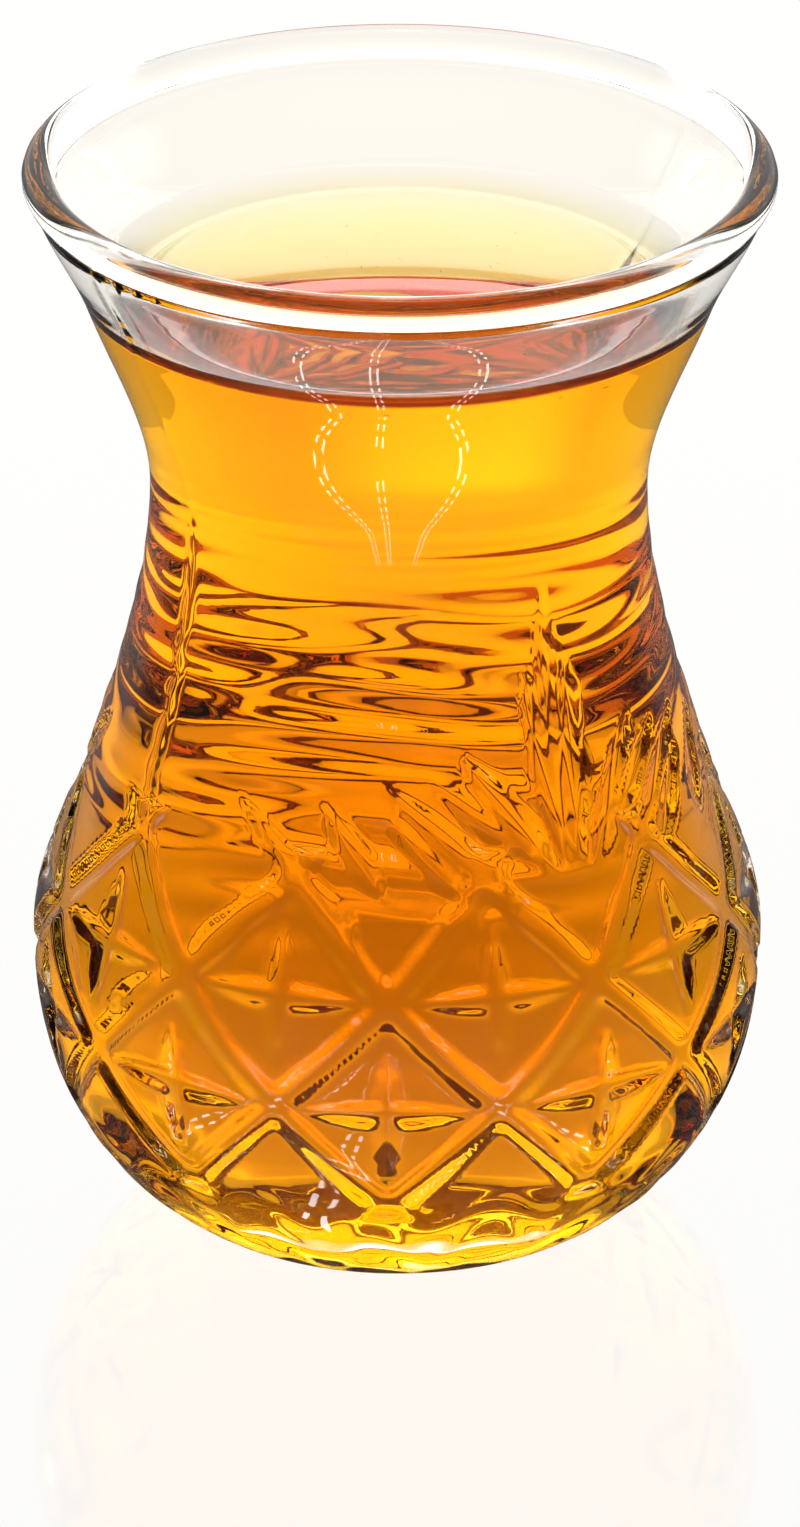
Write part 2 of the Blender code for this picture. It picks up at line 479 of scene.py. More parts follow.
class DiamondPress:
    """Presses the lattice, the crosses and the leaf cuts into a plain turned wall."""

    TURN, CLIMB, RADIUS = "turn", "climb", "wall_radius"
    LEAF, RIPPLE, WET = "leaf_depth", "ripple", "wet"
    SIZES = {
        "diamonds": "Diamonds around",
        "diamond_height": "Diamond height",
        "lattice_reach": "Lattice reach",
        "band_half": "Band half width",
        "band_floor": "Band half floor",
        "band_depth": "Band depth",
        "corner_round": "Corner rounding",
        "cross_across": "Cross half length across",
        "cross_up": "Cross half length up",
        "cross_half": "Cross half width",
        "cross_depth": "Cross depth",
    }
    MIDDLES = ((0.0, 0.5), (0.5, 1.0))
    THINNEST = 0.0001

    def __init__(self, pattern: Pattern) -> None:
        """Start the tree, with the pattern's sizes as its inputs."""
        self.pattern = pattern
        self.sketch = PressSketch("diamond_press")
        self.sizes = {
            name: self.sketch.size(label, getattr(pattern, name))
            for name, label in self.SIZES.items()
        }
        self.turn = self.sketch.attribute(self.TURN)
        self.climb = self.sketch.attribute(self.CLIMB)
        girth = self.sketch.math("MULTIPLY", self.sketch.attribute(self.RADIUS), math.tau)
        self.wide = self.sketch.math("DIVIDE", girth, self.sizes["diamonds"])

    def bands(self) -> Socket:
        """Work out the depth of the bands that part the diamonds."""
        sketch, sizes, tall = self.sketch, self.sizes, self.sizes["diamond_height"]
        slant = sketch.math("ADD", sketch.square(self.wide), sketch.square(tall))
        slant = sketch.math("SQRT", slant)
        scale = sketch.math("DIVIDE", sketch.math("MULTIPLY", self.wide, tall), slant)
        gaps = []
        for operation in ("ADD", "SUBTRACT"):
            line = sketch.math(operation, self.turn, self.climb)
            gap = sketch.math("ABSOLUTE", sketch.past_whole(line))
            gaps.append(sketch.math("MULTIPLY", gap, scale))
        nearest = sketch.math("SMOOTH_MIN", *gaps, sizes["corner_round"])
        band = sketch.ease(nearest, sizes["band_floor"], sizes["band_half"], (1.0, 0.0))
        top = sketch.math("ADD", sizes["lattice_reach"], self.pattern.lattice_margin)
        inside = sketch.math("LESS_THAN", self.climb, top)
        inside = sketch.math("MULTIPLY", inside, sketch.ease(self.climb, *self.pattern.foot_fade))
        return sketch.math("MULTIPLY", sketch.math("MULTIPLY", band, sizes["band_depth"]), inside)

    def cross(self, across: Socket, up: Socket) -> Socket:
        """Open share of an upright cross of two lens-shaped grooves.

        Args:
            across: Distance sideways from the cross's middle.
            up: Distance upwards from it.

        Returns:
            The socket of the share, from 0 to 1.
        """
        sketch, sizes = self.sketch, self.sizes
        shares = []
        for along, off, reach in ((across, up, "cross_across"), (up, across, "cross_up")):
            open_share = sketch.dome(sketch.math("DIVIDE", along, sizes[reach]))
            width = sketch.math("MULTIPLY", open_share, sizes["cross_half"])
            width = sketch.math("MAXIMUM", width, self.THINNEST)
            inside = sketch.dome(sketch.math("DIVIDE", off, width))
            shares.append(sketch.math("MULTIPLY", inside, sketch.math("SQRT", open_share)))
        return sketch.math("MAXIMUM", *shares)

    def crosses(self) -> Socket:
        """Work out the depth of the crosses, one in the middle of each diamond of both rows."""
        sketch, sizes = self.sketch, self.sizes
        shares = []
        for turn, climb in self.MIDDLES:
            out = sketch.past_whole(sketch.math("SUBTRACT", self.turn, turn))
            up = sketch.math("SUBTRACT", self.climb, climb)
            up = sketch.math("MULTIPLY", up, sizes["diamond_height"])
            shares.append(self.cross(sketch.math("MULTIPLY", out, self.wide), up))
        return sketch.math("MULTIPLY", sketch.math("MAXIMUM", *shares), sizes["cross_depth"])

    def sink(self, depth: Socket) -> Socket:
        """Move each point inwards along its normal.

        Args:
            depth: How far, in millimetres.

        Returns:
            The socket of the moved geometry.
        """
        sketch = self.sketch
        offset = sketch.add("ShaderNodeVectorMath")
        offset.operation = "SCALE"
        sketch.link(sketch.add("GeometryNodeInputNormal").outputs["Normal"], offset.inputs[0])
        sketch.link(sketch.math("MULTIPLY", depth, -MM), offset.inputs["Scale"])
        moved = sketch.add("GeometryNodeSetPosition")
        sketch.link(sketch.entry.outputs["Geometry"], moved.inputs["Geometry"])
        sketch.link(offset.outputs["Vector"], moved.inputs["Offset"])
        return moved.outputs["Geometry"]

    def tree(self, finish: bpy.types.Material, wetted: bpy.types.Material) -> bpy.types.NodeTree:
        """Finish the tree.

        Args:
            finish: The material that the tree puts on the wall.
            wetted: The material where the drink touches the wall.

        Returns:
            The tree, whose inputs carry the pattern's sizes.
        """
        sketch = self.sketch
        leaf = sketch.attribute(self.LEAF)
        pressed = sketch.math("MAXIMUM", self.bands(), self.crosses())
        pressed = sketch.math("MAXIMUM", sketch.math("MAXIMUM", pressed, leaf), 0.0)
        depth = sketch.math("ADD", pressed, sketch.math("MINIMUM", leaf, 0.0))
        calm = sketch.ease(leaf, 0.0, self.pattern.leaf_calm, (1.0, 0.0))
        depth = sketch.math("MULTIPLY_ADD", sketch.attribute(self.RIPPLE), calm, depth)
        realize = sketch.add("GeometryNodeRealizeInstances")
        sketch.link(self.sink(depth), realize.inputs["Geometry"])
        dressed = realize.outputs["Geometry"]
        wet = sketch.math("GREATER_THAN", sketch.attribute(self.WET), 0.5)
        for material, where in ((finish, True), (wetted, wet)):
            dress = sketch.add("GeometryNodeSetMaterial")
            dress.inputs["Material"].default_value = material
            sketch.fill(dress.inputs["Selection"], where)
            sketch.link(dressed, dress.inputs["Geometry"])
            dressed = dress.outputs["Geometry"]
        sketch.link(dressed, sketch.leave.inputs["Geometry"])
        return sketch.tree

    def press(
        self, wall: bpy.types.Object, finish: bpy.types.Material, wetted: bpy.types.Material
    ) -> None:
        """Press the pattern into the wall's mesh.

        Args:
            wall: The plain wall, whose mesh carries the attributes that the tree reads.
            finish: The wall's material.
            wetted: Its material where the drink touches it.
        """
        modifier = wall.modifiers.new("press", "NODES")
        modifier.node_group = self.tree(finish, wetted)
        for item in modifier.node_group.interface.items_tree:
            if item.in_out == "INPUT" and item.socket_type == "NodeSocketFloat":
                modifier[item.identifier] = float(item.default_value)
        graph = bpy.context.evaluated_depsgraph_get()
        pressed = bpy.data.meshes.new_from_object(wall.evaluated_get(graph))
        wall.modifiers.remove(modifier)
        plain = wall.data
        wall.data = pressed
        pressed.name = wall.name
        bpy.data.meshes.remove(plain)
        for name in (self.TURN, self.CLIMB, self.RADIUS, self.LEAF, self.RIPPLE, self.WET):
            pressed.attributes.remove(pressed.attributes[name])


def ring_points(radii: np.ndarray, heights: np.ndarray, columns: int) -> np.ndarray:
    """Lay out the points of level rings round Z.

    Args:
        radii: Radius of each ring.
        heights: Height of each ring.
        columns: How many points there are in a ring.

    Returns:
        The points, ring by ring.
    """
    angle = np.arange(columns) * 2 * math.pi / columns
    grid = np.empty((len(radii), columns, 3))
    grid[..., 0] = radii[:, None] * np.sin(angle)
    grid[..., 1] = -radii[:, None] * np.cos(angle)
    grid[..., 2] = heights[:, None]
    return grid.reshape(-1, 3)


def ring_quads(first: int, rings: int, columns: int) -> list[list[int]]:
    """List the faces between rings.

    Args:
        first: Number of the first ring's first point.
        rings: How many rings there are.
        columns: How many points there are in a ring.

    Returns:
        The faces.
    """
    start = first + np.arange(rings - 1)[:, None] * columns
    here = np.arange(columns)[None, :]
    after = (here + 1) % columns
    quads = (start + here, start + columns + here, start + columns + after, start + after)
    return np.stack(quads, -1).reshape(-1, 4).tolist()


def new_mesh(name: str, points: np.ndarray, faces: list, smooth: bool = True) -> bpy.types.Mesh:
    """Make a mesh in metres.

    Args:
        name: Its name.
        points: Its points, in millimetres.
        faces: The numbers of each face's points.
        smooth: Whether its faces are shaded as one curved surface.

    Returns:
        The mesh.
    """
    mesh = bpy.data.meshes.new(name)
    mesh.from_pydata((points * MM).tolist(), [], faces)
    if smooth:
        mesh.shade_smooth()
        mesh.update()
    return mesh


def turned_mesh(
    name: str, radii: np.ndarray, heights: np.ndarray, columns: int, sharp: tuple[int, ...] = ()
) -> bpy.types.Mesh:
    """Turn a profile round Z into a closed mesh.

    Args:
        name: The mesh's name.
        radii: Radius of each point in millimetres. The first and the last are on the axis.
        heights: Height of each point. The profile runs so that its left side is outside.
        columns: How many steps there are round the axis.
        sharp: Places in the profile where the surface has a crease.

    Returns:
        A smooth mesh. Its points are the two poles, and then one ring for each other point.
    """
    rings = len(radii) - 2
    poles = np.array([[0.0, 0.0, heights[0]], [0.0, 0.0, heights[-1]]])
    grid = ring_points(radii[1:-1], heights[1:-1], columns)
    last = 2 + (rings - 1) * columns
    first_fan = [(0, 2 + k, 2 + (k + 1) % columns) for k in range(columns)]
    last_fan = [(1, last + (k + 1) % columns, last + k) for k in range(columns)]
    faces = ring_quads(2, rings, columns) + first_fan + last_fan
    mesh = new_mesh(name, np.concatenate([poles, grid]), faces)
    if sharp:
        ends = np.empty(len(mesh.edges) * 2, np.int32)
        mesh.edges.foreach_get("vertices", ends)
        ring = (ends.reshape(-1, 2) - 2) // columns + 1
        creased = (ring[:, 0] == ring[:, 1]) & np.isin(ring[:, 0], sharp)
        mesh.attributes.new("sharp_edge", "BOOLEAN", "EDGE").data.foreach_set("value", creased)
    return mesh


def new_object(name: str, data: bpy.types.ID) -> bpy.types.Object:
    """Put new data in the scene as an object at the origin."""
    made = bpy.data.objects.new(name, data)
    bpy.context.scene.collection.objects.link(made)
    return made


def new_material(
    name: str, settings: dict[str, float | tuple[float, float, float, float]]
) -> bpy.types.Material:
    """Make a material.

    Args:
        name: Its name.
        settings: A value for each socket of its Principled shader that isn't left as it is.

    Returns:
        The material.
    """
    material = bpy.data.materials.new(name)
    material.use_nodes = True
    shader = material.node_tree.nodes["Principled BSDF"]
    for socket, value in settings.items():
        shader.inputs[socket].default_value = value
    return material


class ShaderSketch(TreeSketch):
    """The sums of a material's or the world's tree."""

    def split(self, vector: Socket) -> tuple[Socket, Socket, Socket]:
        """Take a vector apart into its X, Y and Z."""
        node = self.add("ShaderNodeSeparateXYZ")
        self.link(vector, node.inputs[0])
        return tuple(node.outputs)

    def patch(self, first: Socket, span: Pair, second: Socket, other: Pair) -> Socket:
        """Ease from 0 to 1 over the spans of two numbers at once."""
        return self.math("MULTIPLY", self.ease(first, *span), self.ease(second, *other))

    def tint(self, share: Socket, colour: Colour) -> Socket:
        """Multiply a colour by a number."""
        node = self.add("ShaderNodeVectorMath")
        node.operation = "MULTIPLY"
        self.link(share, node.inputs[0])
        node.inputs[1].default_value = colour
        return node.outputs["Vector"]

    def choose(self, share: Socket, plain: Socket | Colour, other: Socket | Colour) -> Socket:
        """Give the plain colour where the share is 0, and the other where it is 1."""
        node = self.add("ShaderNodeMix")
        node.data_type = "VECTOR"
        self.link(share, node.inputs["Factor"])
        places = [place for place in node.inputs if place.type == "VECTOR" and place.name in "AB"]
        for place, value in zip(places, (plain, other)):
            self.fill(place, value)
        return next(place for place in node.outputs if place.type == "VECTOR")


@dataclass(frozen=True)
class GlassFinish:
    """Clear pressed glass with the faint unevenness of a moulded wall."""

    colour: Colour = (0.985, 0.99, 0.985)
    index: float = 1.5
    roughness: float = 0.0
    ripple_scale: float = 90.0
    ripple: float = 0.02

    def build(self, name: str, against: float = 1.0) -> bpy.types.Material:
        """Make the material.

        Args:
            name: Its name.
            against: Refractive index of what touches the surface.

        Returns:
            The material.
        """
        settings = {
            "Base Color": (*self.colour, 1.0),
            "Roughness": self.roughness,
            "IOR": self.index / against,
            "Transmission Weight": 1.0,
        }
        material = new_material(name, settings)
        sketch = ShaderSketch(material.node_tree)
        noise = sketch.add("ShaderNodeTexNoise")
        noise.inputs["Scale"].default_value = self.ripple_scale
        noise.inputs["Detail"].default_value = 1.0
        bump = sketch.add("ShaderNodeBump")
        bump.inputs["Strength"].default_value = self.ripple
        bump.inputs["Distance"].default_value = MM
        shader = material.node_tree.nodes["Principled BSDF"]
        sketch.link(sketch.add("ShaderNodeTexCoord").outputs["Object"], noise.inputs["Vector"])
        sketch.link(noise.outputs["Fac"], bump.inputs["Height"])
        sketch.link(bump.outputs["Normal"], shader.inputs["Normal"])
        return material


@dataclass(frozen=True)
class TeaFinish:
    """Clear amber tea that darkens with its depth."""

    index: float = 1.33
    tint: Colour = (0.94, 0.807, 0.0)
    density: float = 200.0

    def clear(self, name: str, index: float) -> bpy.types.Material:
        """Make a clear smooth material.

        Args:
            name: Its name.
            index: Its refractive index against what is outside it.

        Returns:
            The material.
        """
        settings = {
            "Base Color": (*WHITE, 1.0),
            "Roughness": 0.0,
            "IOR": index,
            "Transmission Weight": 1.0,
        }
        return new_material(name, settings)

    def top(self) -> bpy.types.Material:
        """Make the material of the open surface, which bends light between air and tea."""
        return self.clear("tea_top", self.index)

    def depth(self) -> bpy.types.Material:
        """Make the material of the tea's depth, which colours light and leaves it straight."""
        material = self.clear("amber_tea", 1.0)
        sketch = ShaderSketch(material.node_tree)
        depth = sketch.add("ShaderNodeVolumeAbsorption")
        depth.inputs["Color"].default_value = (*self.tint, 1.0)
        depth.inputs["Density"].default_value = self.density
        output = material.node_tree.nodes["Material Output"]
        sketch.link(depth.outputs["Volume"], output.inputs["Volume"])
        return material


@dataclass(frozen=True)
class LeafFinish:
    """Wet brown tea leaf."""

    colour: Colour = (0.75, 0.24, 0.03)
    roughness: float = 0.6

    def build(self) -> bpy.types.Material:
        """Make the material."""
        settings = {"Base Color": (*self.colour, 1.0), "Roughness": self.roughness}
        return new_material("leaf_bits", settings)


@dataclass
class PressedGlass:
    """The glass itself, as one closed wall."""

    shape: GlassShape = field(default_factory=GlassShape)
    pattern: Pattern = field(default_factory=Pattern)
    finish: GlassFinish = field(default_factory=GlassFinish)
    columns: int = 380
    leaf_top: float = 63.0
    leaf_step: float = 0.4
    fine_top: float = 39.38
    fine_bottom: float = 8.31
    fine_rings: int = 48
    wet_height: float = 80.182
    wet_slack: float = 0.001
    blend_steps: int = 7
    plain_steps: int = 21
    low_steps: int = 15
    bowl_steps: int = 15
    wet_steps: int = 28
    dry_steps: int = 7
    lip_steps: int = 12
    foot_steps: int = 6
    far_below: float = -9.0
    spare_radius: float = 10.0

    def outer_heights(self) -> np.ndarray:
        """Heights of the rings of the outside, from the lip down to above the foot."""
        stations = self.shape.outer().stations
        lip = stations[-1].height
        blend = np.linspace(lip, lip - self.shape.lip_blend, self.blend_steps)
        plain = np.linspace(blend[-1], self.leaf_top, self.plain_steps)
        leaf_steps = round((self.leaf_top - self.fine_top) / self.leaf_step)
        leaves = np.linspace(self.leaf_top, self.fine_top, leaf_steps + 1)
        fine_step = self.pattern.diamond_height / self.fine_rings
        fine_steps = round((self.fine_top - self.fine_bottom) / fine_step)
        fine = np.linspace(self.fine_top, self.fine_bottom, fine_steps + 1)
        low = np.linspace(self.fine_bottom, stations[0].height, self.low_steps)
        return np.concatenate([blend, plain[1:], leaves[1:], fine[1:], low[1:]])

    def profile(self) -> tuple[np.ndarray, np.ndarray, slice]:
        """Lay out the whole wall.

        Returns:
            The radii and the heights from the axis inside, over the lip and down to the axis
            underneath, and the part of them that is the outside above the foot.
        """
        shape = self.shape
        top = shape.inner().stations[-1].height
        bowl = shape.bowl(np.linspace(1, 0, self.bowl_steps))
        wet = np.linspace(shape.bowl_height, self.wet_height, self.wet_steps)[1:]
        blend = np.linspace(top - shape.lip_blend, top, self.blend_steps)
        dry = np.linspace(self.wet_height, blend[0], self.dry_steps)[1:]
        inside = np.concatenate([wet, dry, blend[1:]])
        start, end = shape.lip_ends()
        shares = [k / (self.lip_steps + 1) for k in range(1, self.lip_steps + 1)]
        lip = np.array([shape.lip_point(end + (start - end) * share) for share in shares])
        outside = self.outer_heights()
        upright = math.pi / 2 - math.atan(shape.outer().stations[0].slope)
        turns = upright * np.arange(self.foot_steps - 1, -1, -1) / self.foot_steps
        foot_radii = shape.foot_radius + shape.foot_round * np.sin(turns)
        foot_heights = shape.foot_round * (1 - np.cos(turns))
        wall = (shape.inner().radius_at(inside), lip[:, 0], shape.outer().radius_at(outside))
        radii = np.concatenate([bowl[0], *wall, foot_radii, [shape.foot_flat, 0.0]])
        heights = np.concatenate([bowl[1], inside, lip[:, 1], outside, foot_heights, [0.0, 0.0]])
        first = len(bowl[0]) + len(inside) + len(lip)
        return radii, heights, slice(first, first + len(outside))

    def mark(
        self, mesh: bpy.types.Mesh, radii: np.ndarray, heights: np.ndarray, outside: slice
    ) -> None:
        """Give the plain mesh the numbers that the press reads at each point.

        Args:
            mesh: The plain wall.
            radii: The radii of its profile.
            heights: The heights of its profile.
            outside: The part of the profile that the pattern may reach.
        """
        pattern = self.pattern
        rings = np.arange(outside.start - 1, outside.stop - 1)
        around = np.arange(self.columns) * 360 / self.columns
        angle = np.broadcast_to(around, (len(rings), self.columns))
        height = np.broadcast_to(heights[outside][:, None], angle.shape)
        radius = np.broadcast_to(radii[outside][:, None], angle.shape)
        climb = (height - pattern.first_height) / pattern.diamond_height
        marks = (
            (DiamondPress.TURN, 0.0, angle * pattern.diamonds / 360),
            (DiamondPress.CLIMB, self.far_below, climb),
            (DiamondPress.RADIUS, self.spare_radius, radius),
            (DiamondPress.LEAF, 0.0, pattern.leaf_depth(angle, height, radius)),
            (DiamondPress.RIPPLE, 0.0, pattern.ripple(angle, height)),
        )
        first = 2 + rings[0] * self.columns
        for name, elsewhere, value in marks:
            whole = np.full(len(mesh.vertices), elsewhere, np.float32)
            whole[first : first + value.size] = value.ravel()
            mesh.attributes.new(name, "FLOAT", "POINT").data.foreach_set("value", whole)
        inside = np.arange(len(radii)) < outside.start - self.lip_steps
        wet_rings = inside & (heights <= self.wet_height + self.wet_slack)
        wet = np.repeat(wet_rings[1:-1].astype(np.float32), self.columns)
        wet = np.concatenate([[1.0, 0.0], wet])
        mesh.attributes.new(DiamondPress.WET, "FLOAT", "POINT").data.foreach_set("value", wet)

    def build(self) -> bpy.types.Object:
        """Make the glass and press its pattern."""
        radii, heights, outside = self.profile()
        mesh = turned_mesh("glass_wall", radii, heights, self.columns)
        self.mark(mesh, radii, heights, outside)
        wall = new_object("glass_wall", mesh)
        finish = self.finish.build("clear_pressed_glass")
        wetted = self.finish.build("wetted_glass", TeaFinish().index)
        DiamondPress(self.pattern).press(wall, finish, wetted)
        wall.visible_shadow = False
        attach(wall, "root")
        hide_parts("glass")
        LOG.info("%s: %d points", wall.name, len(wall.data.vertices))
        return wall


@dataclass
class TeaFill:
    """The tea, with the edge of its surface drawn up the wall."""

    shape: GlassShape = field(default_factory=GlassShape)
    finish: TeaFinish = field(default_factory=TeaFinish)
    level: float = 77.9
    gentle_tilts: Pair = (0.15, 8.0)
    gentle_steps: int = 14
    steep_tilts: Pair = (10.0, 50.0)
    steep_steps: int = 17
    pull_length: float = 2.7
    into_wall: float = 0.12
    skin: float = 0.01
    flat_steps: int = 6
    wall_steps: int = 60
    bowl_steps: int = 24
    columns: int = 240

    def surface(self) -> tuple[np.ndarray, np.ndarray]:
        """Draw the surface, which a liquid's own pull lifts towards the wall.

        Returns:
            Its radii and heights from the axis out to the wall.
        """
        gentle = np.geomspace(*self.gentle_tilts, self.gentle_steps)
        steep = np.linspace(*self.steep_tilts, self.steep_steps)
        tilt = np.radians(np.concatenate([gentle, steep]))
        rise = 2 * self.pull_length * np.sin(tilt / 2)
        run = self.pull_length * np.cos(tilt / 2) / np.tan(tilt)
        steps = (run[1:] + run[:-1]) / 2 * np.diff(tilt)
        back = np.append(np.cumsum(steps[::-1])[::-1], 0.0)
        top = self.level + rise[-1]
        edge = float(self.shape.inner().radius_at(np.array([top]))[0])
        flat = np.linspace(0, edge - back[0], self.flat_steps)[:-1]
        level = np.full(len(flat), self.level)
        radii = np.concatenate([flat, edge - back, [edge + self.into_wall]])
        heights = np.concatenate([level, self.level + rise, [top + self.into_wall]])
        return radii, heights

    def top(self) -> bpy.types.Object:
        """Make the open surface of the tea."""
        radii, heights = self.surface()
        heights = heights + self.skin
        middle = np.array([[0.0, 0.0, heights[0]]])
        grid = ring_points(radii[1:], heights[1:], self.columns)
        fan = [(0, 1 + k, 1 + (k + 1) % self.columns) for k in range(self.columns)]
        faces = ring_quads(1, len(radii) - 1, self.columns) + fan
        mesh = new_mesh("tea_top", np.concatenate([middle, grid]), faces)
        mesh.materials.append(self.finish.top())
        return new_object("tea_top", mesh)

    def fill(self) -> bpy.types.Object:
        """Make the depth of the tea, which reaches just into the wall."""
        shape = self.shape
        radii, heights = self.surface()
        contact = len(radii) - 2
        side = np.linspace(heights[-1], shape.bowl_height, self.wall_steps)[1:]
        wall = shape.inner().radius_at(side) + self.into_wall
        bowl = shape.bowl(np.linspace(0, 1, self.bowl_steps)[1:])
        grow = 1 + self.into_wall / shape.bowl_radius
        radii = np.concatenate([radii, wall, bowl[0] * grow])
        heights = np.concatenate([heights, side, bowl[1] - self.into_wall])
        creases = (contact, contact + 1)
        mesh = turned_mesh("tea_fill", radii, heights, self.columns, creases)
        mesh.materials.append(self.finish.depth())
        return new_object("tea_fill", mesh)

    def build(self) -> list[bpy.types.Object]:
        """Make the tea.

        Returns:
            Its depth and its open surface.
        """
        made = [self.fill(), self.top()]
        for piece in made:
            piece.visible_shadow = False
            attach(piece, "root")
            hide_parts("tea")
            LOG.info("%s: %d points", piece.name, len(piece.data.vertices))
        return made


@dataclass
class TeaSpecks:
    """Fine bits of leaf that float just under the surface, each a slim pointed rod."""

    finish: LeafFinish = field(default_factory=LeafFinish)
    count: int = 90
    reach: float = 17.5
    depth: Pair = (0.25, 0.9)
    length: Pair = (0.12, 0.9)
    width: float = 0.07
    tilt: float = 0.15
    level: float = 77.9
    seed: int = 11

    def bit(self, chance: np.random.Generator) -> list[np.ndarray]:
        """Draw one bit.

        Args:
            chance: Where its place, length and turn come from.

        Returns:
            Its first tip, the four points round its middle, and its other tip.
        """
        reach = self.reach * math.sqrt(chance.random())
        turn = chance.uniform(0, math.tau)
        lean = chance.uniform(0, math.tau)
        height = self.level - chance.uniform(*self.depth)
        middle = np.array([reach * math.cos(turn), reach * math.sin(turn), height])
        shortest, longest = self.length
        half = 0.5 * shortest + 0.5 * (longest - shortest) * chance.random() ** 3
        tilt = chance.uniform(-self.tilt, self.tilt)
        along = half * np.array([math.cos(lean), math.sin(lean), tilt])
        side = self.width * np.array([-math.sin(lean), math.cos(lean), 0.0])
        rise = np.array([0.0, 0.0, self.width])
        waist = [middle + side, middle + rise, middle - side, middle - rise]
        return [middle - along, *waist, middle + along]

    def build(self) -> bpy.types.Object:
        """Make all the bits as one object."""
        chance = np.random.default_rng(self.seed)
        points, faces = [], []
        for _ in range(self.count):
            first = len(points)
            points += self.bit(chance)
            for k in range(4):
                here, after = first + 1 + k, first + 1 + (k + 1) % 4
                faces += [(first, after, here), (first + 5, here, after)]
        mesh = new_mesh("tea_specks", np.array(points), faces, smooth=False)
        mesh.materials.append(self.finish.build())
        made = new_object("tea_specks", mesh)
        made.visible_shadow = False
        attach(made, "root")
        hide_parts("tea")
        LOG.info("%s: %d bits", made.name, self.count)
        return made


@dataclass(frozen=True)
class PaintedGlintRows:
    """Rows of painted glints in pairs on the table, seen only by mirrored rays, which the glass
    mirrors as dotted highlights in its front.

    Each row has its place near the glass and its place away from it, and eases from one to the
    other over a span in front of the glass.
    """

    places: tuple[Pair, ...] = ((-0.034, -0.0145), (-0.008, -0.0045), (0.030, 0.0175))
    span: Pair = (-0.080, -0.035)
    pair: float = 0.0013
    half: float = 0.0004
    dashes: float = 260.0
    dash_share: float = 0.55
    middle: float = -0.0715
    reach: float = 0.0465

    def painted_glints(self, sketch: ShaderSketch, across: Socket, ahead: Socket) -> Socket:
        """Draw the rows of painted glints.

        Args:
            sketch: The table's tree.
            across: How far a place on the table is to the right.
            ahead: How far it is behind the glass.

        Returns:
            The socket of a number that is 1 on a painted glint and 0 off it.
        """
        # Painted glints: dashed rows that stand in for small lamps mirrored in the glass.
        row: Socket | float = 0.0
        near = sketch.ease(ahead, *self.span)
        for close, away in self.places:
            side = sketch.math("MULTIPLY_ADD", near, close - away, away)
            off = sketch.math("ABSOLUTE", sketch.math("SUBTRACT", across, side))
            row = sketch.math("MAXIMUM", row, sketch.math("COMPARE", off, self.pair, self.half))
        dash = sketch.math("FRACT", sketch.math("MULTIPLY", ahead, self.dashes))
        dash = sketch.math("LESS_THAN", dash, self.dash_share)
        front = sketch.math("COMPARE", ahead, self.middle, self.reach)
        return sketch.math("MULTIPLY", sketch.math("MULTIPLY", row, dash), front)


